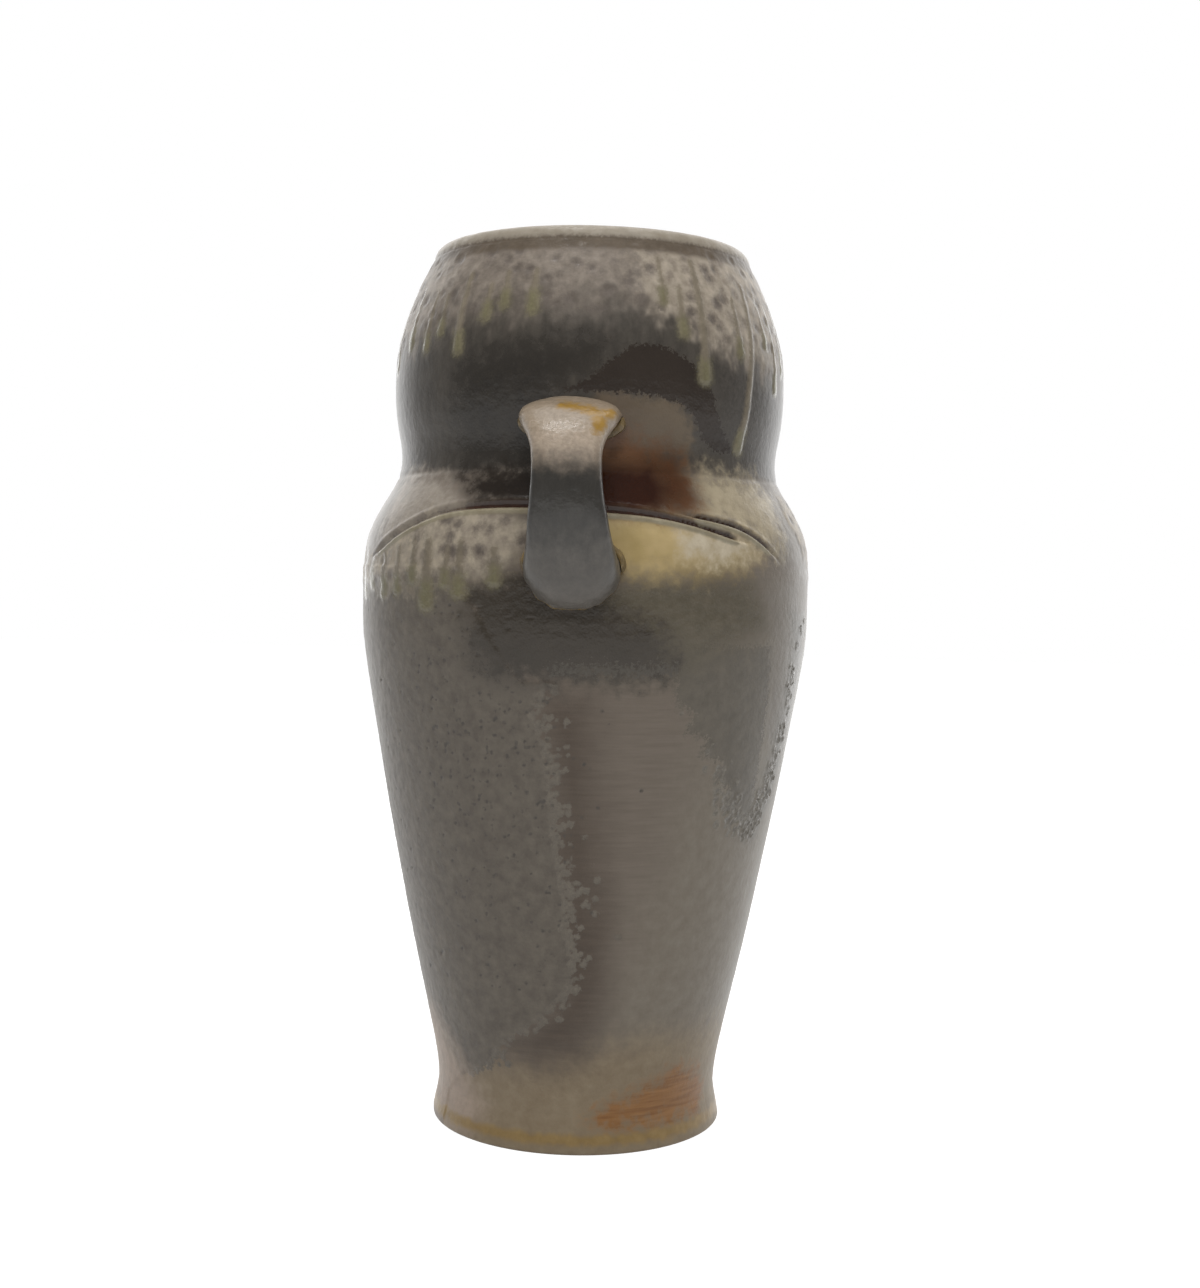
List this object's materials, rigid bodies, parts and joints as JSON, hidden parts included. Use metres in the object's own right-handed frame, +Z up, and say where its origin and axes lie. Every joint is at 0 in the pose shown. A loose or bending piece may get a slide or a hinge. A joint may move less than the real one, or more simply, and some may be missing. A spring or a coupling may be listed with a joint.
{
  "type": "one-handled ceramic vessel",
  "caption": "Tall wheel-thrown stoneware vessel with a swelling belly, pinched waist, round bulb, small lip and one strap handle.",
  "frame": {"origin": "centre of the standing ring, in the plane that the vessel stands on", "axes": "+Z up along the wheel axis, -Y towards the handle, +X to the right seen from the handle's side"},
  "size_m": [0.1704, 0.1923, 0.33],
  "materials": {
    "foot": "flashed stoneware with a thin satin skin, bare under the standing ring",
    "belly": "satin ash and vapour glaze with a pitted, beaded skin",
    "bulb": "glossy dark ash glaze with pale runs from the rim",
    "lip": "thin satin ash glaze worn pale on the rim",
    "inner_coil": "matt stoneware",
    "handle": "satin glaze, pale at the upper root and grey below",
    "handle_coil": "satin glaze with golden edges"
  },
  "bodies": {
    "root": {"foot_ring": "foot", "belly": "belly", "bulb": "bulb", "lip": "lip", "waist_coil": "inner_coil", "handle_strap": "handle", "handle_top_coil": "handle_coil", "handle_bottom_coil": "handle_coil"}
  },
  "joints": []
}
